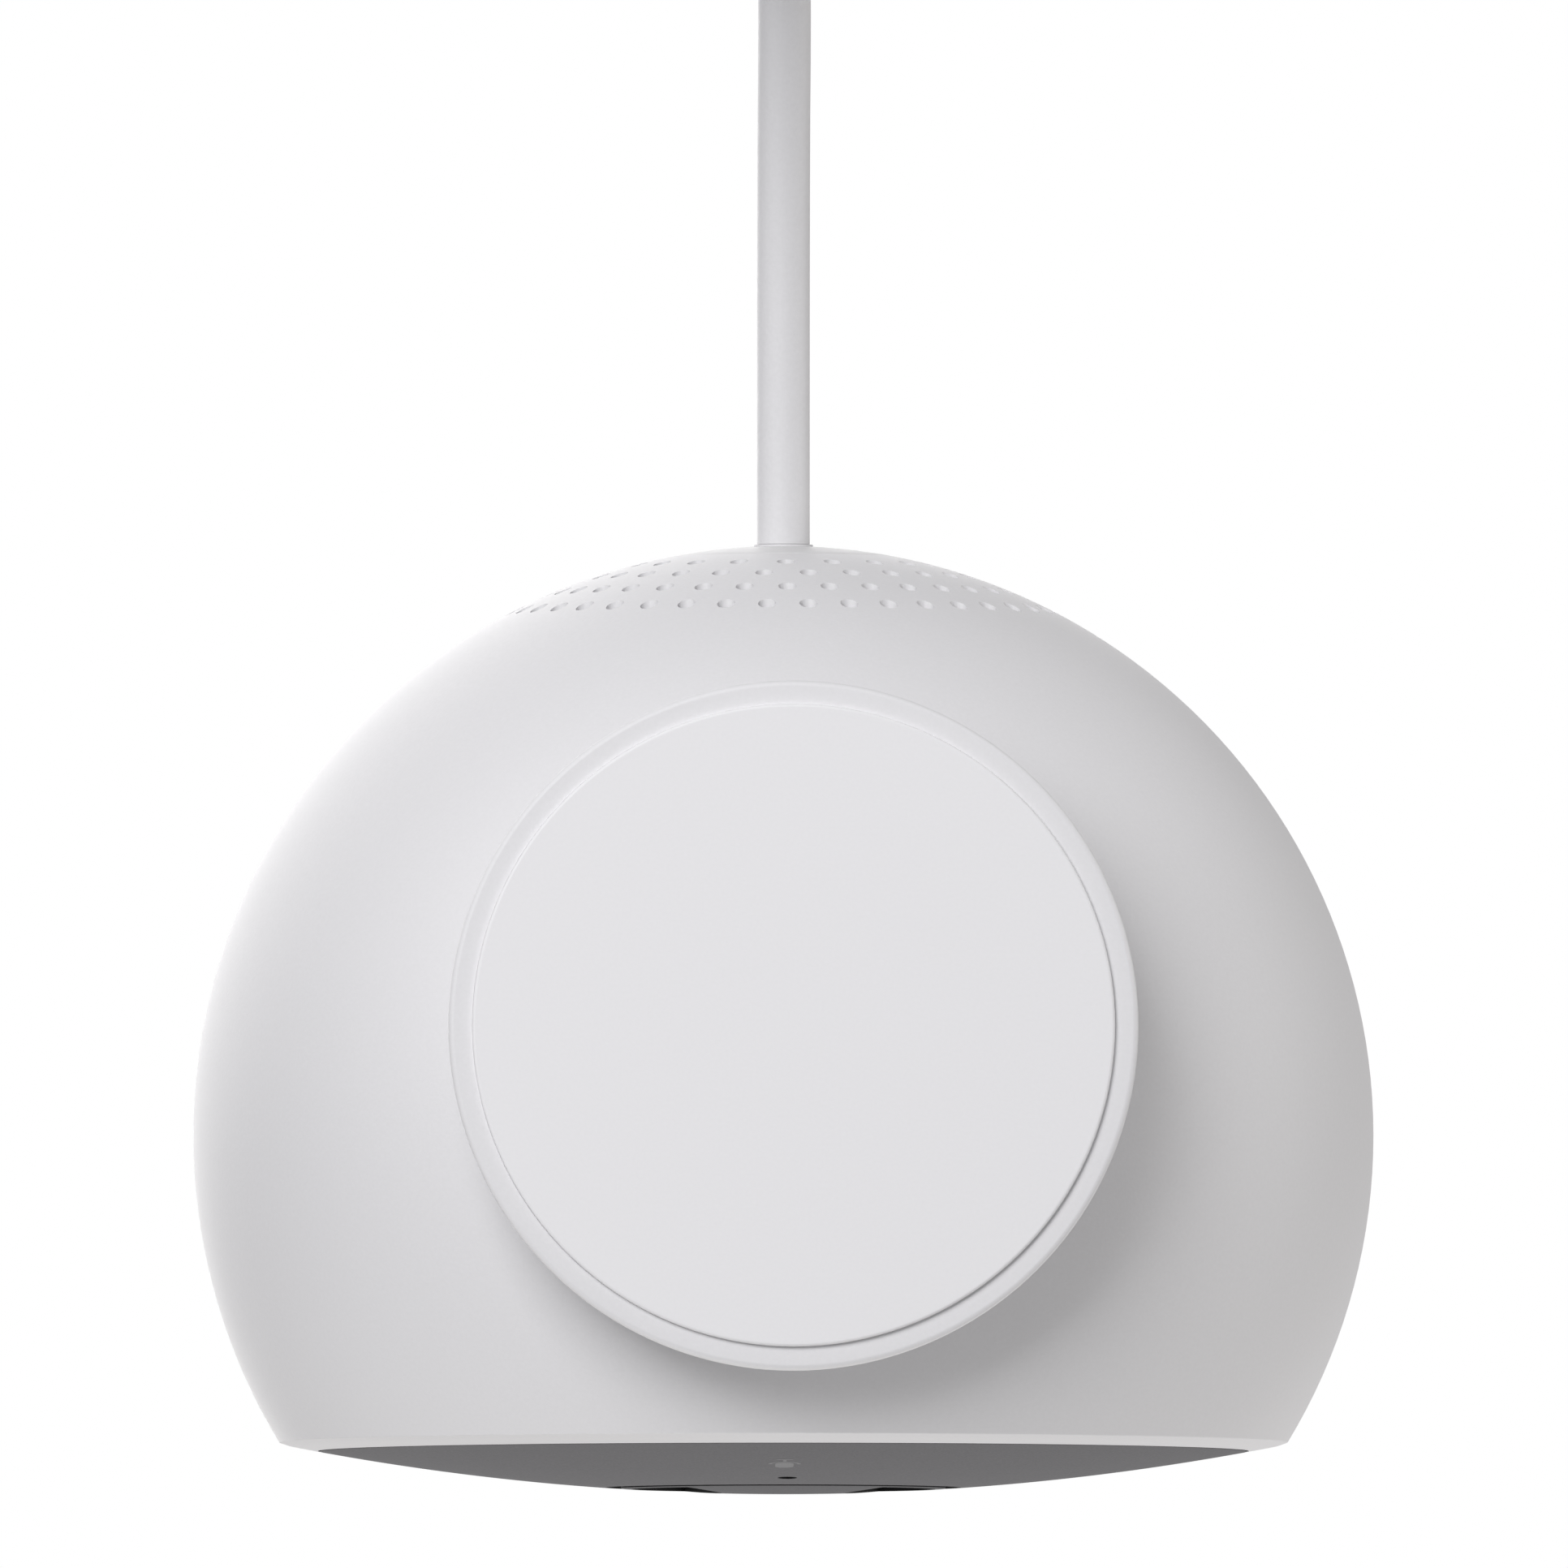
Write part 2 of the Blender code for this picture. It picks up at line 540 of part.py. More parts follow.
def dial_seat():
    """Black cup round the dial, the brass bush that its shaft turns in, and the rotary encoder."""
    wall_inner, wall_outer = 15.3 * MM, 16.4 * MM
    wall_front, floor_front, floor_rear = -29.0 * MM, -24.3 * MM, -23.3 * MM
    turned("dial_seat", "black", [
        (wall_outer, floor_rear), (wall_outer, wall_front), (wall_inner, wall_front),
        (wall_inner, floor_front), (SHAFT_R + 0.4 * MM, floor_front), (SHAFT_R + 0.4 * MM, floor_rear)],
        BIG)
    bush_bore, bush_r, flange_r = SHAFT_R + 0.1 * MM, 4.6 * MM, 6.5 * MM
    turned("dial_bush", "brass", [
        (bush_r, -19.0 * MM), (bush_r, -21.5 * MM), (flange_r, -21.5 * MM), (flange_r, -22.9 * MM),
        (bush_bore, -22.9 * MM), (bush_bore, -19.0 * MM)], MEDIUM)
    half = 6.5 * MM
    encoder = block("rotary_encoder", "black", in_ball(-half, -18.7 * MM, -half),
                    in_ball(half, -13.4 * MM, half))
    cut(encoder, rod("encoder_bore", None, in_ball(0, -20 * MM, 0), in_ball(0, -12 * MM, 0),
                     SHAFT_R + 0.4 * MM, MEDIUM, CUTTERS))


# ---------------------------------------------------------------- foot
NECK_CENTRE = Vector((0, -7.0 * MM, 0))
NECK_R = 11.0 * MM
SCREW_CIRCLE_R = 7.0 * MM


def foot_screw_places():
    return [NECK_CENTRE + SCREW_CIRCLE_R * Vector((math.sin(a), math.cos(a), 0))
            for a in (2 * math.pi / 3 * k for k in range(3))]


def foot_screw_holes():
    made = [bpy.data.objects.get(f"foot_bore_{k}") for k in range(3)]
    if all(made):
        return made
    return [rod(f"foot_bore_{k}", None, place + Vector((0, 0, 1 * MM)), place + Vector((0, 0, 18 * MM)),
                1.55 * MM, 12, CUTTERS) for k, place in enumerate(foot_screw_places())]


def foot():
    """Disc foot with a short neck, its stick-on pad, the steel weight in the ball and three screws."""
    edge, ring_under, disc_top = 0.5 * MM, 0.6 * MM, 3.4 * MM
    pad_thick, pad_edge, recess_top = 1.2 * MM, 0.25 * MM, 1.5 * MM
    recess_r = PAD_R + GAP
    base = turned("foot_base", "shell_white", [
        (0, disc_top), (FOOT_R - edge, disc_top), (FOOT_R, disc_top - edge), (FOOT_R, ring_under + edge),
        (FOOT_R - edge, ring_under), (recess_r, ring_under), (recess_r, recess_top), (0, recess_top)],
        BIG, upright=True)
    neck_foot, neck_top = 2.4 * MM, 9.0 * MM
    join(base, rod("neck", None, NECK_CENTRE + Vector((0, 0, neck_foot)),
                   NECK_CENTRE + Vector((0, 0, neck_top)), NECK_R, MEDIUM, CUTTERS))
    ball_tool = turned("ball_tool", None, [(0, 53 * MM), *ball_arc(BALL_R + GAP, 0.2, 2.94, 20), (0, -53 * MM)],
                       BIG, BALL, upright=False, collection=CUTTERS)
    cut(base, ball_tool, *foot_screw_holes())
    head_r, head, under_head = 2.2 * MM, 1.2 * MM, 3.0 * MM
    shank_r, tip = 1.25 * MM, 16.8 * MM
    for k, place in enumerate(foot_screw_places()):
        cut(base, rod(f"counterbore_{k}", None, place + Vector((0, 0, 0.5 * MM)),
                      place + Vector((0, 0, under_head + GAP)), head_r + GAP, 16, CUTTERS))
        turned(f"foot_screw_{k + 1}", "steel", [
            (0, tip), (shank_r, tip), (shank_r, under_head), (head_r, under_head),
            (head_r, under_head - head), (0, under_head - head)], 12, place, upright=True)
    turned("foot_pad", "pad_white", [
        (0, pad_thick), (PAD_R, pad_thick), (PAD_R, pad_edge), (PAD_R - pad_edge, 0), (0, 0)], BIG,
        upright=True)
    weight = turned("ballast_weight", "steel", ring(0, 11.4 * MM, 9.1 * MM, 14.6 * MM), MEDIUM, NECK_CENTRE,
                    upright=True)
    cut(weight, *foot_screw_holes())


# ---------------------------------------------------------------- cord
CORD_ROUTE = [
    (0, 44.05, 56), (0, 48, 56), (0, 54, 56), (0, 61, 55.8), (0, 68, 55.4), (0, 75, 54.5), (0, 82, 52.8),
    (0, 90, 49.6), (0.2, 97, 45), (0.8, 103, 39), (1.8, 108.5, 32.2), (3.1, 113.5, 25.4), (4.8, 119, 18.9),
    (6.6, 125, 13.6)]
TAIL_RADIUS = 38.0
TAIL_ARC_DEGREES = (184, 198, 212, 226, 240, 255, 270)
TAIL_ROUTE = [
    (-12, 107, 3.05), (-3.9, 107.1, 3.0), (3, 107.4, 2.7), (9, 108.2, 2.5), (16, 110.6, 2.6), (22.5, 114.2, 3.1),
    (27.8, 118.4, 4.1), (31.4, 122.8, 5.9), (32.9, 127, 7.6), (33, 130.6, 8)]


def cord():
    """The free cord in its two open stretches, and the coil between them with its tie."""
    spacing, bottom_layer = 6 * MM, 3.05 * MM
    tube("cord", "cord_white", smooth_route([Vector(p) * MM for p in CORD_ROUTE], spacing), CORD_R)
    last_turn = [COIL_CENTRE + TAIL_RADIUS * MM * Vector((math.cos(a), math.sin(a), 0))
                 + Vector((0, 0, bottom_layer)) for a in (math.radians(d) for d in TAIL_ARC_DEGREES)]
    tail = last_turn + [Vector(p) * MM for p in TAIL_ROUTE]
    tube("cord_tail", "cord_white", smooth_route(tail, spacing), CORD_R)
    bundle_low, bundle_top = 0.75 * MM, 10.1 * MM
    inner_r, outer_r = COIL_INNER_TURN_R - CORD_R, COIL_OUTER_TURN_R + CORD_R
    round_off = 1.6 * MM
    turned("cord_coil", "cord_white", [
        (outer_r - round_off, bundle_top), (outer_r, bundle_top - round_off), (outer_r, bundle_low + round_off),
        (outer_r - round_off, bundle_low), (inner_r + round_off, bundle_low), (inner_r, bundle_low + round_off),
        (inner_r, bundle_top - round_off), (inner_r + round_off, bundle_top)], MEDIUM, COIL_CENTRE, upright=True)
    strap, half_width, ring_sag = 0.4 * MM, 5.0 * MM, 1.2 * MM
    x = COIL_CENTRE.x
    south, north = COIL_CENTRE.y + inner_r - ring_sag, COIL_CENTRE.y + outer_r + GAP
    low, top = bundle_low - GAP - strap, bundle_top + GAP + strap
    tie = block("cord_tie", "rubber", (x - half_width, south - strap, low), (x + half_width, north + strap, top))
    cut(tie, block("tie_inside", None, (x - 2 * half_width, south, low + strap),
                   (x + 2 * half_width, north, top - strap), collection=CUTTERS))


def adapter():
    """Wall adapter at the cord's end: a rounded case, its cord relief and two flat blades."""
    half_width, rear_y, end_y, height = 15.0 * MM, 143.0 * MM, 173.0 * MM, 21.0 * MM
    entry = Vector((ADAPTER_X, 0, 8.0 * MM))
    case = block("adapter_case", "cord_white", (ADAPTER_X - half_width, rear_y, 0),
                 (ADAPTER_X + half_width, end_y, height))
    soften(case, 3.0 * MM, 2)
    relief_start, relief_end = 131.2 * MM, rear_y - GAP
    turned("adapter_relief", "cord_white", [
        (0, relief_end), (4.2 * MM, relief_end), (2.9 * MM, relief_start), (0, relief_start)], SMALL, entry)
    blade_half, blade_thick, blade_length = 3.15 * MM, 1.5 * MM, 16.0 * MM
    blade_spread, middle = 6.35 * MM, height / 2
    for side, tag in ((-1, "left"), (1, "right")):
        x = ADAPTER_X + side * blade_spread
        block(f"adapter_blade_{tag}", "brass", (x - blade_thick / 2, end_y + GAP, middle - blade_half),
              (x + blade_thick / 2, end_y + GAP + blade_length, middle + blade_half))


clear_scene()
PARTS = new_collection("smart_display")
CUTTERS = new_collection("cutters")
main_shell()
rear_cap()
cord_grommet()
cord_bracket()
grille_cloth()
speaker()
power_supply()
chassis()
main_board()
display()
front_cover()
microphone()
dial()
dial_button()
dial_seat()
foot()
cord()
adapter()
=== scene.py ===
"""Looks for the round smart display: materials, fine surfaces, its cord, and a plain pale studio."""

import math

import bmesh
import bpy
from mathutils import Matrix, Vector


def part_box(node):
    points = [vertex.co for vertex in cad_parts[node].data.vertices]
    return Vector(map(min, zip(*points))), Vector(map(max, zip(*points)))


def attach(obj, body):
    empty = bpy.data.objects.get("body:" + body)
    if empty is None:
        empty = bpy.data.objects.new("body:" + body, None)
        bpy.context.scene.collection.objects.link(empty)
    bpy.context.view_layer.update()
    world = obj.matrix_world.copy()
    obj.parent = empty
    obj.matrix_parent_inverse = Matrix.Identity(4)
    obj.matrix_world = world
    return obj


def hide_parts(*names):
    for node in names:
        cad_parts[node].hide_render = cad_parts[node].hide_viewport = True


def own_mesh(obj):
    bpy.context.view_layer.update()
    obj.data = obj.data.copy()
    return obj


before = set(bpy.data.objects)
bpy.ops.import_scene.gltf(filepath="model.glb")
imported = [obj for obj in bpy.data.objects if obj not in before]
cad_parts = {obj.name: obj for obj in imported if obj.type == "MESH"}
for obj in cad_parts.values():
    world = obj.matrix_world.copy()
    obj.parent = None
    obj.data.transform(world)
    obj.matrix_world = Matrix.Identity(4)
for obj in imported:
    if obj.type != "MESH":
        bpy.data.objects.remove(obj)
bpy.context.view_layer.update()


# ---- Camera: looks straight up at the underside, a touch from the front and from the left
# The lens is very long, which leaves almost no perspective. The rear is at the top of the view.
shell_low, shell_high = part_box("main_shell")
ball_r = (shell_high.x - shell_low.x) / 2
face_ahead = 0.0315
ball = Vector((0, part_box("dial_button")[0].y + face_ahead, (shell_low.z + shell_high.z) / 2))
view_width = 0.13805
lens_mm, sensor_mm = 1600, 36
lean_front, lean_side = 0.0279, 0.0162
aim = ball + Vector((-0.00005, 0.0310, 0))
towards_camera = Vector((lean_side, -lean_front, -1)).normalized()
camera_data = bpy.data.cameras.new("camera")
camera_data.lens, camera_data.sensor_width = lens_mm, sensor_mm
camera = bpy.data.objects.new("camera", camera_data)
bpy.context.scene.collection.objects.link(camera)
across = (-towards_camera).cross(Vector((0, 1, 0))).normalized()
upwards = across.cross(-towards_camera)
turn = Matrix((across, upwards, towards_camera)).transposed().to_4x4()
camera.matrix_world = Matrix.Translation(aim + towards_camera * view_width * lens_mm / sensor_mm) @ turn
bpy.context.scene.camera = camera


# ---- Power cord: a 1.5 m captive lead with a matte pale jacket, 4.6 mm thick
# It leaves the rear pole level, droops to the table and is wound into eight turns, tied, beside its adapter.
cord_r = 0.002315
turn_radii = (0.0331, 0.0284, 0.0237, 0.0190)
last_turn_r = 0.0380
coil_centre = Vector((-0.0231, 0.145, 0))
low_z, top_z = 0.00305, 0.00775


def smooth_through(points, spacing):
    """Points about that far apart on a smooth curve through the given ones."""
    ends = [2 * points[0] - points[1], *points, 2 * points[-1] - points[-2]]
    route = []
    for a, b, c, d in zip(ends, ends[1:], ends[2:], ends[3:]):
        count = max(1, round((c - b).length / spacing))
        for step in range(count):
            t = step / count
            route.append(0.5 * (2 * b + (c - a) * t + (2 * a - 5 * b + 4 * c - d) * t * t
                                + (3 * b - 3 * c + d - a) * t ** 3))
    return [*route, points[-1]]


def eased(value, start, end):
    """From 0 to 1 as the value goes from start to end, slow at both ends."""
    t = min(1.0, max(0.0, (value - start) / (end - start)))
    return t * t * (3 - 2 * t)


def coil_route(per_turn=28):
    """Points from the east side: inwards round the top layer, down, and outwards round the bottom layer."""
    inward_shift, step_down, outward_shift, turns = (0.68, 0.92), (0.54, 0.70), (0.28, 0.52), 7.75
    route = []
    for step in range(round(turns * per_turn) + 1):
        round_no = step / per_turn
        radius, height = turn_radii[0], top_z
        for k, (outer, inner) in enumerate(zip(turn_radii, turn_radii[1:])):
            radius += (inner - outer) * eased(round_no, k + inward_shift[0], k + inward_shift[1])
        height += (low_z - top_z) * eased(round_no, 3 + step_down[0], 3 + step_down[1])
        outward = (last_turn_r, *turn_radii)[::-1]
        for k, (inner, outer) in enumerate(zip(outward, outward[1:])):
            radius += (outer - inner) * eased(round_no, 4 + k + outward_shift[0], 4 + k + outward_shift[1])
        angle = 2 * math.pi * round_no
        route.append(coil_centre + Vector((radius * math.cos(angle), radius * math.sin(angle), height)))
    return route


droop = [Vector(p) / 1000 for p in (
    (0, 43.7, 56), (0, 48, 56), (0, 54, 56), (0, 61, 55.8), (0, 68, 55.4), (0, 75, 54.5), (0, 82, 52.8),
    (0, 90, 49.6), (0.2, 97, 45), (0.8, 103, 39), (1.8, 108.5, 32.2), (3.1, 113.5, 25.4), (4.8, 119, 18.9),
    (6.6, 125, 13.6), (8.2, 131.5, 10.2), (9.4, 138, 8.5))]
tail = [Vector(p) / 1000 for p in (
    (-12, 107, 3.05), (-3.9, 107.1, 3.0), (3, 107.4, 2.7), (9, 108.2, 2.5), (16, 110.6, 2.6),
    (22.5, 114.2, 3.1), (27.8, 118.4, 4.1), (31.4, 122.8, 5.9), (32.9, 127, 7.6), (33, 130.6, 8),
    (33, 134, 8))]
cord_line = smooth_through([*droop, *coil_route(), *tail], 0.004)


def grained(name, slot, light, dark, roughness, grain_m, height_m, mottle=0.0, metallic=0.0, sheen=0.0,
            gleam=0.5):
    """A moulded or rolled surface: fine grain in its height and gloss, and a faint drift of its colour."""
    made = bpy.data.materials.new(name)
    made.use_nodes = True
    nodes, links = made.node_tree.nodes, made.node_tree.links
    shader = nodes["Principled BSDF"]
    place = nodes.new("ShaderNodeTexCoord")
    fine = nodes.new("ShaderNodeTexNoise")
    fine.inputs["Scale"].default_value = 1 / grain_m
    fine.inputs["Detail"].default_value = 3
    broad = nodes.new("ShaderNodeTexNoise")
    broad.inputs["Scale"].default_value = 60
    broad.inputs["Detail"].default_value = 2
    blend = nodes.new("ShaderNodeMix")
    blend.data_type = "RGBA"
    blend.inputs["A"].default_value = (*light, 1)
    blend.inputs["B"].default_value = (*dark, 1)
    weigh = nodes.new("ShaderNodeMath")
    weigh.operation = "MULTIPLY_ADD"
    weigh.inputs[1].default_value = mottle
    gloss = nodes.new("ShaderNodeMapRange")
    gloss.inputs["To Min"].default_value = roughness * 0.85
    gloss.inputs["To Max"].default_value = roughness * 1.15
    bump = nodes.new("ShaderNodeBump")
    bump.inputs["Distance"].default_value = height_m
    bump.inputs["Strength"].default_value = 1.0
    links.new(place.outputs["Object"], fine.inputs["Vector"])
    links.new(place.outputs["Object"], broad.inputs["Vector"])
    links.new(broad.outputs["Fac"], weigh.inputs[0])
    links.new(fine.outputs["Fac"], weigh.inputs[2])
    links.new(weigh.outputs["Value"], blend.inputs["Factor"])
    links.new(blend.outputs["Result"], shader.inputs["Base Color"])
    links.new(fine.outputs["Fac"], gloss.inputs["Value"])
    links.new(gloss.outputs["Result"], shader.inputs["Roughness"])
    links.new(fine.outputs["Fac"], bump.inputs["Height"])
    links.new(bump.outputs["Normal"], shader.inputs["Normal"])
    shader.inputs["Metallic"].default_value = metallic
    shader.inputs["Sheen Weight"].default_value = sheen
    shader.inputs["Specular IOR Level"].default_value = gleam
    made["slot"] = slot
    return made


def dress(piece, finish, body="body"):
    """Gives the finished piece its material and record slot, and lets it ride on its body."""
    piece.data.materials.clear()
    piece.data.materials.append(finish)
    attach(piece, body)
    return piece


jacket = grained("cord_jacket", "cord_white", (0.735, 0.732, 0.743), (0.685, 0.683, 0.69), 0.6, 0.0004,
                 0.00002)
curve = bpy.data.curves.new("power_cord", "CURVE")
curve.dimensions = "3D"
curve.bevel_depth, curve.bevel_resolution, curve.use_fill_caps = cord_r, 6, True
line = curve.splines.new("POLY")
line.points.add(len(cord_line) - 1)
for spot, point in zip(line.points, cord_line):
    spot.co = (*point, 1)
line.use_smooth = True
power_cord = bpy.data.objects.new("power_cord", curve)
bpy.context.scene.collection.objects.link(power_cord)
dress(power_cord, jacket)
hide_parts("cord", "cord_tail", "cord_coil")


# ---- Ball shell: one moulding in satin white plastic, with a front lip and drilled sound holes
# Its lip turns in at the front to frame the face, and the cap snaps into the hole at its rear pole.
def select_nothing():
    """Leaves edit mode and deselects every piece."""
    if bpy.context.object and bpy.context.object.mode != "OBJECT":
        bpy.ops.object.mode_set(mode="OBJECT")
    bpy.ops.object.select_all(action="DESELECT")


def spin_piece(name, outline, centre, axis, steps, edge=0.0, edge_segments=3):
    """Draws a closed outline point by point, spins it round the axis and rounds its sharp edges."""
    select_nothing()
    bpy.ops.mesh.primitive_plane_add(size=0.001)
    piece = bpy.context.object
    piece.name = piece.data.name = name
    bpy.ops.object.mode_set(mode="EDIT")
    bpy.ops.mesh.select_mode(type="VERT")
    bpy.ops.mesh.select_all(action="SELECT")
    bpy.ops.mesh.merge(type="CENTER")
    bpy.ops.transform.translate(value=outline[0])
    for a, b in zip(outline, [*outline[1:], outline[0]]):
        if (b - a).length > 1e-7:
            bpy.ops.mesh.extrude_region_move(TRANSFORM_OT_translate={"value": b - a})
    bpy.ops.mesh.select_all(action="SELECT")
    bpy.ops.mesh.spin(steps=steps, angle=2 * math.pi, center=centre, axis=axis)
    bpy.ops.mesh.select_all(action="SELECT")
    bpy.ops.mesh.remove_doubles(threshold=1e-6)
    bpy.ops.mesh.delete_loose()
    bpy.ops.mesh.select_all(action="SELECT")
    bpy.ops.mesh.normals_make_consistent(inside=False)
    if edge:
        bpy.ops.mesh.select_mode(type="EDGE")
        bpy.ops.mesh.select_all(action="DESELECT")
        bpy.ops.mesh.edges_select_sharp(sharpness=math.radians(35))
        bpy.ops.mesh.bevel(offset=edge, segments=edge_segments, affect="EDGES")
        bpy.ops.mesh.select_mode(type="VERT")
    bpy.ops.object.mode_set(mode="OBJECT")
    smooth_faces(piece)
    return piece


def smooth_faces(piece):
    """Smooth shading that keeps large faces flat beside their narrow rounded edges."""
    select_nothing()
    piece.select_set(True)
    bpy.context.view_layer.objects.active = piece
    bpy.ops.object.shade_smooth_by_angle(angle=math.radians(35))
    weigh = piece.modifiers.new("face_weights", "WEIGHTED_NORMAL")
    weigh.keep_sharp, weigh.weight = True, 50
    bpy.ops.object.modifier_apply(modifier=weigh.name)


def on_axis(outline):
    """Outline points from (radius, station), the station measured to the rear from the ball's centre."""
    return [ball + Vector((radius, station, 0)) for radius, station in outline]


def arc(radius, start, end, steps):
    """(radius, station) points on a sphere, between two distances from the axis of the rear half."""
    first, last = (math.asin(start / radius), math.asin(end / radius))
    return arc_by_angle(radius, first, last, steps)


def arc_by_angle(radius, first, last, steps):
    """(radius, station) points on a sphere, between two angles from the rear pole."""
    return [(radius * math.sin(a), radius * math.cos(a))
            for a in (first + (last - first) * k / steps for k in range(steps + 1))]


face_curve_r, face_apex = 0.2266, -face_ahead


def face_station(radius):
    """The station of the domed face at that radius."""
    return face_apex + face_curve_r - math.sqrt(face_curve_r ** 2 - radius ** 2)


def face_line(start, end, steps, depth=0.0):
    """(radius, station) points along the domed face, or that deep behind it."""
    return [(r, face_station(r) + depth)
            for r in (start + (end - start) * k / steps for k in range(steps + 1))]


wall = 0.0022
rim_r, lip_r, lip_depth = 0.04438, 0.04098, 0.0018
cap_hole_r = 0.00966
lip_station = face_station(lip_r) + lip_depth
inner_r = ball_r - wall
rim_angle = math.pi - math.asin(rim_r / ball_r)
outline = arc_by_angle(ball_r, math.asin(cap_hole_r / ball_r), rim_angle, 60)
outline += face_line(rim_r, lip_r, 4)[1:]
outline.append((lip_r, lip_station))
outline += arc_by_angle(inner_r, math.acos(lip_station / inner_r), math.asin(cap_hole_r / inner_r), 24)
shell = spin_piece("ball_shell", on_axis(outline), ball, (0, 1, 0), 160, edge=0.00006)


def cut_with(piece, tool):
    """Cuts the tool out of the piece for good."""
    bpy.context.view_layer.objects.active = piece
    cut = piece.modifiers.new("cut", "BOOLEAN")
    cut.operation, cut.object, cut.solver = "DIFFERENCE", tool, "EXACT"
    bpy.ops.object.modifier_apply(modifier=cut.name)
    bpy.data.objects.remove(tool)
    smooth_faces(piece)


def drill_sound_holes(piece):
    """Cuts the four rows of round holes, drilled along the front-to-back axis."""
    hole_r, reach, drill_station = 0.00079, 0.016, 0.046
    rows = ((20, 0.01334), (27, 0.01680), (34, 0.02027), (41, 0.02371))
    select_nothing()
    bpy.ops.mesh.primitive_cylinder_add(vertices=20, radius=hole_r, depth=reach,
                                        rotation=(math.pi / 2, 0, 0))
    drill = bpy.context.object
    bpy.ops.object.transform_apply(location=True, rotation=True, scale=True)
    bit = drill.data.copy()
    drills = bmesh.new()
    for row, (count, radius) in enumerate(rows):
        offset = 0 if row % 2 == 0 else math.pi / count
        for k in range(count):
            angle = -math.pi / 2 + offset + 2 * math.pi * k / count
            before = len(drills.verts)
            drills.from_mesh(bit)
            drills.verts.ensure_lookup_table()
            spot = ball + Vector((radius * math.cos(angle), drill_station, radius * math.sin(angle)))
            bmesh.ops.translate(drills, vec=spot, verts=drills.verts[before:])
    drills.to_mesh(drill.data)
    drills.free()
    cut_with(piece, drill)


drill_sound_holes(shell)
satin_white = grained("satin_white", "shell_white", (0.81, 0.807, 0.818), (0.77, 0.767, 0.775), 0.55, 0.00035,
                      0.000012, 0.1, gleam=0.4)
dress(shell, satin_white)
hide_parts("main_shell")


# ---- Rear cap and cord collar: a snap-in disc, a shade darker, and the collar moulded on the cord
# The cap continues the ball's curve, and the collar stands a hair proud of it round the cord.
cap_r, cap_bore_r, cap_thick = 0.00958, 0.00262, 0.0016
outline = arc(ball_r, cap_bore_r, cap_r, 10)
outline += arc(ball_r - cap_thick, cap_r, cap_bore_r, 6)
cap = spin_piece("rear_cap_disc", on_axis(outline), ball, (0, 1, 0), 96, edge=0.00006, edge_segments=2)
cap_plastic = grained("cap_plastic", "cap_white", (0.79, 0.786, 0.793), (0.75, 0.747, 0.75), 0.55, 0.00035,
                      0.000012, 0.1)
dress(cap, cap_plastic)
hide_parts("rear_cap")

collar_r, collar_end, grip_r = 0.0026, ball_r + 0.00012, cord_r - 0.0001
flange_r, flange_rear, flange_front = 0.0052, 0.0474, 0.0454
sleeve_rear_r, sleeve_front_r, sleeve_front = 0.0035, 0.0030, 0.0300
bore_r, bore_rear = 0.0012, 0.0470
outline = [(grip_r, collar_end), (collar_r, collar_end), (collar_r, flange_rear), (flange_r, flange_rear),
           (flange_r, flange_front), (sleeve_rear_r, flange_front), (sleeve_front_r, sleeve_front),
           (bore_r, sleeve_front), (bore_r, bore_rear), (grip_r, flange_rear)]
collar = spin_piece("cord_collar", on_axis(outline), ball, (0, 1, 0), 48, edge=0.00004, edge_segments=2)
dress(collar, jacket)
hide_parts("cord_grommet")


# ---- Front cover: a domed disc of smoked, finely etched plastic over the ring-shaped display
# It drops into the shell's lip with a thin shadow gap, and is open round the dial and over the microphone.
cover_r, dial_hole_r, cover_thick = 0.04082, 0.0156, 0.0016
mic_drop, mic_hole_r = 0.0215, 0.00085
outline = face_line(cover_r, dial_hole_r, 26) + face_line(dial_hole_r, cover_r, 8, cover_thick)
cover = spin_piece("front_face", on_axis(outline), ball, (0, 1, 0), 160, edge=0.00008, edge_segments=2)
select_nothing()
bpy.ops.mesh.primitive_cylinder_add(vertices=40, radius=mic_hole_r, depth=0.01, rotation=(math.pi / 2, 0, 0),
                                    location=ball + Vector((0, -0.031, -mic_drop)))
cut_with(cover, bpy.context.object)
etched_grey = grained("etched_grey", "face_grey", (0.184, 0.182, 0.188), (0.134, 0.133, 0.139), 0.6, 0.00022,
                      0.000006, 0.1, gleam=0.1)
dress(cover, etched_grey)
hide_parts("front_cover")
# Deep black is the own colour of the well floor and the dial cup, and the painted shade on the cut walls of
# the front pieces.
deep_black = grained("deep_black", "black", (0.006, 0.006, 0.006), (0.003, 0.003, 0.003), 0.8, 0.0003,
                     0.00001)


def paint_shade_on_walls(piece):
    """Paints a front piece's cut walls black: painted shade that stands in for the dark inside its gaps,
    holes and wells.
    """
    piece.data.materials.append(deep_black)
    for face in piece.data.polygons:
        if abs(face.normal.y) < 0.5:
            face.material_index = 1


# The cover's rim wall, dial hole wall and microphone hole wall get painted shade in black.
paint_shade_on_walls(cover)


# ---- Microphone symbol: a small printed pictogram below the hole, a little lighter than the face
# Four flat shapes lie on the domed face: the capsule, the cradle, its stem and its foot.
def flat_shape(name, outline_points, lift):
    """A filled outline of (side, up) points laid on the domed face."""
    shape = bmesh.new()
    spots = []
    for side, up in outline_points:
        station = face_station(math.hypot(side, up)) - lift
        spots.append(shape.verts.new(ball + Vector((side, station, up))))
    shape.faces.new(spots)
    mesh = bpy.data.meshes.new(name)
    shape.to_mesh(mesh)
    shape.free()
    return mesh


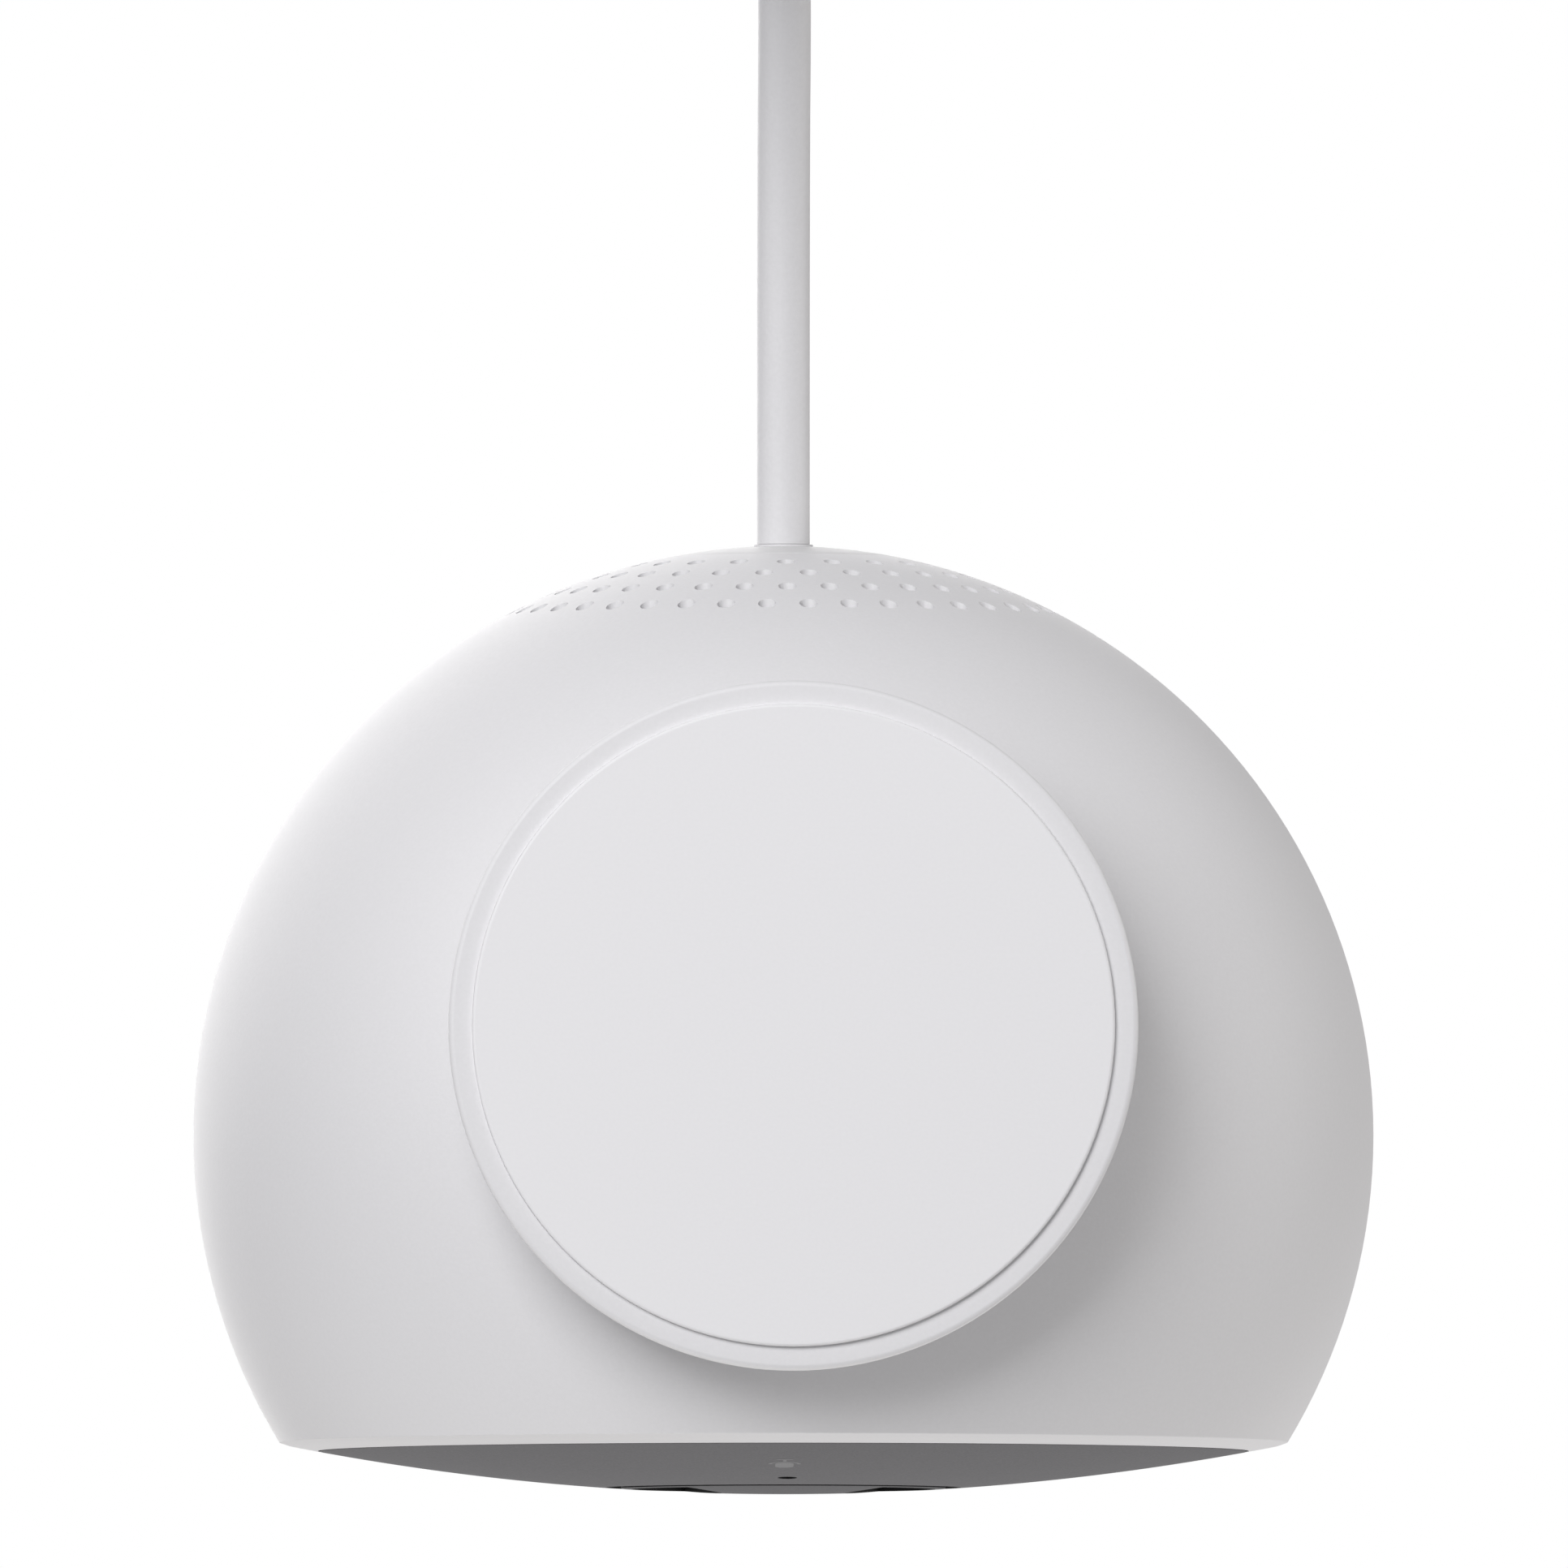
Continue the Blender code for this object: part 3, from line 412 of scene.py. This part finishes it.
def band(centre, radius, width, first, last, steps):
    """Outline of a curved stroke round a centre."""
    outer = [(centre[0] + (radius + width / 2) * math.cos(a), centre[1] + (radius + width / 2) * math.sin(a))
             for a in (first + (last - first) * k / steps for k in range(steps + 1))]
    inner = [(centre[0] + (radius - width / 2) * math.cos(a), centre[1] + (radius - width / 2) * math.sin(a))
             for a in (last + (first - last) * k / steps for k in range(steps + 1))]
    return outer + inner


def rounded_bar(centre, half_width, half_height, corner, steps=6):
    """Outline of an upright bar with rounded corners."""
    points = []
    for quarter, (sx, sy) in enumerate(((1, 1), (-1, 1), (-1, -1), (1, -1))):
        cx, cy = centre[0] + sx * (half_width - corner), centre[1] + sy * (half_height - corner)
        for k in range(steps + 1):
            a = math.pi / 2 * (quarter + k / steps)
            points.append((cx + corner * math.cos(a), cy + corner * math.sin(a)))
    return points


symbol_side, symbol_up = 0.0004, -0.0309
stroke, symbol_lift = 0.0003, 0.000015
capsule = rounded_bar((symbol_side, symbol_up + 0.0009), 0.00081, 0.0015, 0.00075)
cradle = band((symbol_side, symbol_up + 0.0004), 0.00130, stroke, math.pi, 2 * math.pi, 16)
stem = rounded_bar((symbol_side, symbol_up - 0.00150), stroke / 2, 0.00048, 0.0001, 2)
foot_bar = rounded_bar((symbol_side, symbol_up - 0.00215), 0.00075, stroke / 2, 0.00012, 3)
symbol_mesh = bmesh.new()
for k, shape_outline in enumerate((capsule, cradle, stem, foot_bar)):
    mesh = flat_shape(f"symbol_{k}", shape_outline, symbol_lift)
    symbol_mesh.from_mesh(mesh)
    bpy.data.meshes.remove(mesh)
bmesh.ops.triangulate(symbol_mesh, faces=symbol_mesh.faces)
bmesh.ops.recalc_face_normals(symbol_mesh, faces=symbol_mesh.faces)
bmesh.ops.solidify(symbol_mesh, geom=symbol_mesh.faces[:], thickness=symbol_lift * 0.8)
mesh = bpy.data.meshes.new("microphone_symbol")
symbol_mesh.to_mesh(mesh)
symbol_mesh.free()
symbol = bpy.data.objects.new("microphone_symbol", mesh)
bpy.context.scene.collection.objects.link(symbol)
symbol_print = grained("symbol_print", "face_grey", (0.21, 0.21, 0.215), (0.19, 0.19, 0.195), 0.6, 0.00022,
                       0.000004)
dress(symbol, symbol_print)


# ---- Dial: a satin grey knob flush with the face, with a waisted grip bar between two finger wells
# It turns on a hollow steel shaft in a black cup. The round button in its waist is pressed straight in.
dial_r, dial_rim, button_r = 0.0143, 0.0009, 0.00445
knob_rear = -0.0266
bar_corner_up, bar_waist, bar_end, bar_flare = 0.0103, 0.0054, 0.00845, 1.66


def bar_half_width(up):
    """Half the grip bar's width at that height, least at the waist."""
    return bar_waist + (bar_end - bar_waist) * (abs(up) / bar_corner_up) ** bar_flare


def well_cutter(side):
    """The D-shaped space of one finger well."""
    well_r, steps, cutter_front, cutter_deep = dial_r - dial_rim, 24, -0.034, 0.012
    corner = math.asin(bar_corner_up / well_r)
    rim = [(well_r * math.cos(a), well_r * math.sin(a))
           for a in (-corner + 2 * corner * k / steps for k in range(steps + 1))]
    edge = [(bar_half_width(up), up) for up in (bar_corner_up * (1 - 2 * k / steps) for k in range(1, steps))]
    shape = bmesh.new()
    spots = [shape.verts.new(ball + Vector((side * x, cutter_front, up))) for x, up in rim + edge]
    swept = bmesh.ops.extrude_face_region(shape, geom=[shape.faces.new(spots)])["geom"]
    swept_points = [v for v in swept if isinstance(v, bmesh.types.BMVert)]
    bmesh.ops.translate(shape, vec=(0, cutter_deep, 0), verts=swept_points)
    bmesh.ops.recalc_face_normals(shape, faces=shape.faces)
    mesh = bpy.data.meshes.new("well")
    shape.to_mesh(mesh)
    shape.free()
    tool = bpy.data.objects.new("well", mesh)
    bpy.context.scene.collection.objects.link(tool)
    return tool


button_bore_r = button_r + 0.0001
outline = face_line(dial_r, button_bore_r, 12) + [(button_bore_r, knob_rear), (dial_r, knob_rear)]
knob = spin_piece("dial_grip", on_axis(outline), ball, (0, 1, 0), 120, edge=0.0001, edge_segments=2)
for side in (-1, 1):
    cut_with(knob, well_cutter(side))
satin_grey = grained("satin_grey", "dial_grey", (0.150, 0.149, 0.155), (0.118, 0.118, 0.122), 0.5, 0.00022,
                     0.000005, 0.1, gleam=0.06)
dress(knob, satin_grey, "dial")
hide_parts("dial_knob")
# The knob's side wall, button bore and finger-well walls get painted shade in black.
paint_shade_on_walls(knob)

head_rear, stem_r, stem_rear = -0.0289, 0.0015, -0.0118
outline = [(0, face_apex), *face_line(0.0003, button_r, 6), (button_r, head_rear), (stem_r, head_rear),
           (stem_r, stem_rear), (0, stem_rear)]
button = spin_piece("press_button", on_axis(outline), ball, (0, 1, 0), 64, edge=0.00012, edge_segments=2)
dress(button, satin_grey, "button")
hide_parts("dial_button")
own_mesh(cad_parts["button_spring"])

backing_bore_r, backing_front, backing_rear = 0.0019, -0.0263, -0.0255
outline = [(backing_bore_r, backing_front), (dial_r, backing_front), (dial_r, backing_rear),
           (backing_bore_r, backing_rear)]
backing = spin_piece("well_floor", on_axis(outline), ball, (0, 1, 0), 96, edge=0.0001, edge_segments=2)
dress(backing, deep_black, "dial")
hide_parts("dial_backing")

cup_r, cup_inner_r, cup_bore_r = 0.0164, 0.0153, 0.0034
cup_rear, cup_floor, cup_front = -0.0233, -0.0243, -0.0290
outline = [(cup_r, cup_rear), (cup_r, cup_front), (cup_inner_r, cup_front), (cup_inner_r, cup_floor),
           (cup_bore_r, cup_floor), (cup_bore_r, cup_rear)]
cup = spin_piece("dial_cup", on_axis(outline), ball, (0, 1, 0), 96, edge=0.0001, edge_segments=2)
dress(cup, deep_black)
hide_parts("dial_seat")


# ---- Foot: a satin white disc on a short neck, with a smooth silicone pad stuck into its recess
# The pad stands a little proud of the ring round it, and the whole display rests on it.
pad_low, pad_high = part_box("foot_pad")
base_low, base_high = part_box("foot_base")
foot_r, pad_r = (base_high.x - base_low.x) / 2, (pad_high.x - pad_low.x) / 2
ring_under, disc_top, recess_top = base_low.z, 0.0034, 0.0015
foot_edge = 0.0005
recess_r = pad_r + 0.00001


def upright(outline):
    """Outline points from (radius, height), round the foot's upright axis."""
    return [Vector((radius, 0, height)) for radius, height in outline]


origin = Vector()
edge_turn = [math.pi / 2 * k / 6 for k in range(7)]
outline = [(0, disc_top)]
outline += [(foot_r - foot_edge * (1 - math.sin(a)), disc_top - foot_edge * (1 - math.cos(a)))
            for a in edge_turn]
outline += [(foot_r - foot_edge * (1 - math.cos(a)), ring_under + foot_edge * (1 - math.sin(a)))
            for a in edge_turn]
outline += [(recess_r, ring_under), (recess_r, recess_top), (0, recess_top)]
base = spin_piece("foot_disc", upright(outline), origin, (0, 0, 1), 160)
dress(base, satin_white)
neck_middle, neck_r, neck_tall = Vector((0, -0.007, 0.0059)), 0.011, 0.0062
select_nothing()
bpy.ops.mesh.primitive_cylinder_add(vertices=64, radius=neck_r, depth=neck_tall, location=neck_middle)
neck = bpy.context.object
neck.name = "foot_neck"
bpy.ops.object.transform_apply(location=True, rotation=True, scale=True)
select_nothing()
bpy.ops.mesh.primitive_uv_sphere_add(segments=96, ring_count=64, radius=ball_r + 0.0001, location=ball)
cut_with(neck, bpy.context.object)
dress(neck, satin_white)
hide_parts("foot_base")
pad_thick = 0.0012
outline = [(0, pad_thick), (pad_r, pad_thick), (pad_r, 0), (0, 0)]
pad = spin_piece("foot_pad_disc", upright(outline), origin, (0, 0, 1), 160, edge=0.00028)
silicone = grained("pale_silicone", "pad_white", (0.865, 0.862, 0.872), (0.835, 0.833, 0.84), 0.6, 0.0003,
                   0.000006, 0.1)
dress(pad, silicone)
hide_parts("foot_pad")


# ---- Coil tie: a soft black hook-and-loop strap round the eight turns
# It is a flat band closed on itself, and it stands for the CAD strap in the same place.
def block(name, low, high):
    """A box between two corners, left selected and active."""
    select_nothing()
    bpy.ops.mesh.primitive_cube_add(size=1, location=(low + high) / 2)
    piece = bpy.context.object
    piece.name, piece.scale = name, high - low
    bpy.ops.object.transform_apply(location=True, rotation=True, scale=True)
    return piece


strap_thick, strap_corner = 0.0006, 0.0038
tie = block("coil_strap", *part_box("cord_tie"))
bpy.ops.object.mode_set(mode="EDIT")
bpy.ops.mesh.select_mode(type="FACE")
bpy.ops.mesh.select_all(action="DESELECT")
bpy.ops.object.mode_set(mode="OBJECT")
for face in tie.data.polygons:
    face.select = abs(face.normal.x) > 0.9
bpy.ops.object.mode_set(mode="EDIT")
bpy.ops.mesh.delete(type="FACE")
bpy.ops.mesh.select_mode(type="EDGE")
bpy.ops.mesh.select_all(action="DESELECT")
bpy.ops.object.mode_set(mode="OBJECT")
for edge in tie.data.edges:
    a, b = (tie.data.vertices[v].co for v in edge.vertices)
    edge.select = abs(a.x - b.x) > 0.005
bpy.ops.object.mode_set(mode="EDIT")
bpy.ops.mesh.bevel(offset=strap_corner, segments=8, affect="EDGES")
bpy.ops.mesh.select_mode(type="VERT")
bpy.ops.object.mode_set(mode="OBJECT")
thick = tie.modifiers.new("thickness", "SOLIDIFY")
thick.thickness, thick.offset = strap_thick, -1
bpy.ops.object.modifier_apply(modifier=thick.name)
bpy.ops.object.shade_smooth_by_angle(angle=math.radians(35))
strap_cloth = grained("strap_cloth", "rubber", (0.02, 0.02, 0.021), (0.008, 0.008, 0.009), 0.9, 0.0005,
                      0.00015, sheen=0.4)
dress(tie, strap_cloth)
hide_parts("cord_tie")


# ---- Wall adapter: a compact rounded case in the cord's white, its ribbed cord relief and two flat blades
# The case is two mouldings welded along a fine seam. The blades are plated brass with a hole near the tip.
case_low, case_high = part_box("adapter_case")
case_corner, seam_y, seam_half, seam_deep = 0.0034, case_high.y - 0.006, 0.00018, 0.00035
case = block("adapter_shell", case_low, case_high)
bpy.ops.object.mode_set(mode="EDIT")
bpy.ops.mesh.select_all(action="SELECT")
bpy.ops.mesh.bevel(offset=case_corner, segments=6, affect="EDGES")
for y in (seam_y - seam_half, seam_y + seam_half):
    bpy.ops.mesh.select_all(action="SELECT")
    bpy.ops.mesh.bisect(plane_co=(0, y, 0), plane_no=(0, 1, 0))
bpy.ops.mesh.select_mode(type="FACE")
bpy.ops.mesh.select_all(action="DESELECT")
bpy.ops.object.mode_set(mode="OBJECT")
for face in case.data.polygons:
    face.select = abs(face.center.y - seam_y) < seam_half * 0.9
bpy.ops.object.mode_set(mode="EDIT")
bpy.ops.mesh.extrude_region_shrink_fatten(TRANSFORM_OT_shrink_fatten={"value": -seam_deep})
bpy.ops.object.mode_set(mode="OBJECT")
bpy.ops.object.shade_smooth_by_angle(angle=math.radians(35))
adapter_plastic = grained("adapter_plastic", "cord_white", (0.70, 0.70, 0.71), (0.67, 0.67, 0.68), 0.45,
                          0.0004, 0.000012, 0.1)
dress(case, adapter_plastic)
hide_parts("adapter_case")

relief_low, relief_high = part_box("adapter_relief")
relief_axis = Vector(((relief_low.x + relief_high.x) / 2, 0, (relief_low.z + relief_high.z) / 2))
relief_end, relief_bore_r, rib_count, groove = relief_high.y + 0.0003, 0.00225, 6, 0.0005
start_r, end_r = 0.0030, 0.0042
rib = (relief_end - relief_low.y) / rib_count
outline = [(relief_bore_r, relief_low.y)]
for k in range(rib_count):
    share = k / rib_count
    y = relief_low.y + (relief_end - relief_low.y) * share
    r = start_r + (end_r - start_r) * share
    outline += [(r, y), (r, y + rib * 0.62), (r - groove, y + rib * 0.68), (r - groove, y + rib * 0.98)]
outline += [(end_r, relief_end), (relief_bore_r, relief_end)]
relief_points = [relief_axis + Vector((r, y, 0)) for r, y in outline]
relief = spin_piece("adapter_cord_relief", relief_points, relief_axis, (0, 1, 0), 40)
dress(relief, jacket)
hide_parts("adapter_relief")

plated = grained("plated_brass", "brass", (0.80, 0.78, 0.72), (0.72, 0.69, 0.62), 0.25, 0.0006, 0.000004,
                 metallic=1.0)
blade_edge, blade_hole_r, hole_from_tip = 0.0003, 0.0015, 0.004
for tag in ("left", "right"):
    low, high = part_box(f"adapter_blade_{tag}")
    blade = block(f"plug_blade_{tag}", low, high)
    bpy.ops.object.mode_set(mode="EDIT")
    bpy.ops.mesh.select_all(action="SELECT")
    bpy.ops.mesh.bevel(offset=blade_edge, segments=2, affect="EDGES")
    hole_place = ((low.x + high.x) / 2, high.y - hole_from_tip, (low.z + high.z) / 2)
    select_nothing()
    bpy.ops.mesh.primitive_cylinder_add(vertices=24, radius=blade_hole_r, depth=0.01,
                                        rotation=(0, math.pi / 2, 0), location=hole_place)
    cut_with(blade, bpy.context.object)
    dress(blade, plated)
    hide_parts(f"adapter_blade_{tag}")


# ---- Inner pieces: boards, frames, metalwork and speaker parts that stay as they come from the CAD
# Each gets the finish of its own stuff, since only the sound holes and gaps give a glimpse of them.
def finish_node(node, finish):
    """Gives a CAD node that is shown as it is its material and record slot."""
    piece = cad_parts[node]
    piece.data.materials.clear()
    piece.data.materials.append(finish)


inner_finishes = {
    grained("moulded_frame", "inner_grey", (0.26, 0.26, 0.27), (0.21, 0.21, 0.22), 0.6, 0.0004, 0.00002):
        ("cord_bracket", "speaker_baffle", "chassis"),
    grained("acoustic_cloth", "cloth", (0.50, 0.50, 0.51), (0.34, 0.34, 0.35), 0.95, 0.0005, 0.00015,
            sheen=0.3):
        ("grille_cloth",),
    grained("black_rubber", "rubber", (0.035, 0.035, 0.036), (0.02, 0.02, 0.02), 0.85, 0.0004, 0.00003):
        ("speaker_gasket", "speaker_surround", "front_gasket", "mic_duct_boot"),
    grained("satin_steel", "steel", (0.60, 0.61, 0.63), (0.48, 0.49, 0.51), 0.3, 0.0005, 0.000006,
            metallic=1.0):
        ("speaker_basket", "board_screw_1", "board_screw_2", "board_screw_3", "board_screw_4", "dial_shaft",
         "dial_clip", "button_spring", "foot_screw_1", "foot_screw_2", "foot_screw_3", "ballast_weight"),
    grained("sintered_ferrite", "ferrite", (0.07, 0.07, 0.08), (0.045, 0.045, 0.05), 0.6, 0.0003, 0.00002):
        ("speaker_magnet", "power_inductor"),
    grained("coated_paper", "cone_paper", (0.06, 0.06, 0.06), (0.035, 0.035, 0.035), 0.9, 0.0005, 0.00008):
        ("speaker_cone", "dust_cap"),
    grained("enamelled_wire", "copper", (0.75, 0.40, 0.24), (0.60, 0.28, 0.15), 0.3, 0.0003, 0.00004,
            metallic=1.0):
        ("voice_coil",),
    grained("solder_mask", "board_green", (0.025, 0.15, 0.07), (0.012, 0.10, 0.045), 0.4, 0.0012, 0.00002):
        ("power_board", "main_board", "mic_board"),
    grained("black_plastic", "black", (0.014, 0.014, 0.014), (0.008, 0.008, 0.008), 0.5, 0.0004, 0.00001):
        ("power_lead", "press_switch", "display_frame", "rotary_encoder"),
    grained("tin_plate", "tin", (0.66, 0.66, 0.65), (0.54, 0.54, 0.54), 0.3, 0.0008, 0.000006, metallic=1.0):
        ("processor_shield", "wireless_module"),
    grained("rolled_aluminium", "aluminium", (0.74, 0.75, 0.76), (0.62, 0.63, 0.64), 0.35, 0.0006, 0.000006,
            metallic=1.0):
        ("heat_spreader",),
    grained("opal_plastic", "diffuser", (0.82, 0.82, 0.80), (0.76, 0.76, 0.74), 0.4, 0.0006, 0.000005):
        ("display_diffuser",),
    grained("panel_glass", "panel", (0.035, 0.035, 0.055), (0.022, 0.022, 0.038), 0.12, 0.002, 0.000001):
        ("display_panel",),
    grained("polyimide_film", "ribbon", (0.55, 0.34, 0.11), (0.42, 0.25, 0.07), 0.3, 0.0012, 0.000006):
        ("display_ribbon",),
    grained("turned_brass", "brass", (0.80, 0.60, 0.28), (0.70, 0.50, 0.20), 0.25, 0.0005, 0.000004,
            metallic=1.0):
        ("dial_bush",),
}
for finish, nodes in inner_finishes.items():
    for node in nodes:
        finish_node(node, finish)


# ---- Studio: a plain pale floor, white surroundings and large soft lights
# The floor is seen from above only, so that the underside can be looked at straight through it.
floor_half = 4.0
select_nothing()
bpy.ops.mesh.primitive_plane_add(size=2 * floor_half, location=(0, 0, -0.0004))
floor = bpy.context.object
floor.name = "floor"
floor_paint = bpy.data.materials.new("floor_paint")
floor_paint.use_nodes = True
nodes, links = floor_paint.node_tree.nodes, floor_paint.node_tree.links
paint = nodes["Principled BSDF"]
paint.inputs["Base Color"].default_value = (0.82, 0.82, 0.83, 1)
paint.inputs["Roughness"].default_value = 0.9
clear = nodes.new("ShaderNodeBsdfTransparent")
side_seen = nodes.new("ShaderNodeNewGeometry")
choice = nodes.new("ShaderNodeMixShader")
links.new(side_seen.outputs["Backfacing"], choice.inputs["Fac"])
links.new(paint.outputs["BSDF"], choice.inputs[1])
links.new(clear.outputs["BSDF"], choice.inputs[2])
links.new(choice.outputs["Shader"], nodes["Material Output"].inputs["Surface"])
floor.data.materials.append(floor_paint)
floor.visible_shadow = floor.visible_diffuse = floor.visible_glossy = floor.visible_transmission = False

fill_strength, mirrored_share = 0.27, 0.22
world = bpy.data.worlds.new("studio")
bpy.context.scene.world = world
world.use_nodes = True
nodes, links = world.node_tree.nodes, world.node_tree.links
backdrop = nodes["Background"]
backdrop.inputs["Color"].default_value = (1, 1, 1, 1)
backdrop.inputs["Strength"].default_value = 1.0
fill = nodes.new("ShaderNodeBackground")
fill.inputs["Color"].default_value = (0.985, 0.98, 1.0, 1)
fill.inputs["Strength"].default_value = fill_strength
ray = nodes.new("ShaderNodeLightPath")
seen_or_mirrored = nodes.new("ShaderNodeMath")
seen_or_mirrored.operation = "MULTIPLY_ADD"
seen_or_mirrored.inputs[1].default_value = mirrored_share
pick = nodes.new("ShaderNodeMixShader")
links.new(ray.outputs["Is Glossy Ray"], seen_or_mirrored.inputs[0])
links.new(ray.outputs["Is Camera Ray"], seen_or_mirrored.inputs[2])
links.new(seen_or_mirrored.outputs["Value"], pick.inputs["Fac"])
links.new(fill.outputs["Background"], pick.inputs[1])
links.new(backdrop.outputs["Background"], pick.inputs[2])
links.new(pick.outputs["Shader"], nodes["World Output"].inputs["Surface"])


def soft_light(name, place, size, watts, colour):
    """A square softbox that faces the ball."""
    lamp = bpy.data.lights.new(name, "AREA")
    lamp.shape, lamp.size, lamp.energy, lamp.color = "SQUARE", size, watts, colour
    thing = bpy.data.objects.new(name, lamp)
    bpy.context.scene.collection.objects.link(thing)
    thing.location = place
    thing.rotation_euler = (ball - Vector(place)).to_track_quat("-Z", "Y").to_euler()
    thing.visible_camera = False


soft_light("under_key", (0.43, 0.52, -0.98), 0.65, 11.4, (0.99, 0.985, 1.0))
soft_light("right_side", (-1.15, 0.0, 0.20), 0.9, 5.6, (1.0, 0.975, 0.95))
soft_light("front", (0.10, -1.15, 0.32), 0.75, 8.2, (1.0, 0.98, 0.96))
soft_light("overhead", (0.45, 0.35, 1.4), 1.2, 14.0, (1.0, 0.99, 0.98))
bpy.context.scene.view_settings.view_transform = "Standard"
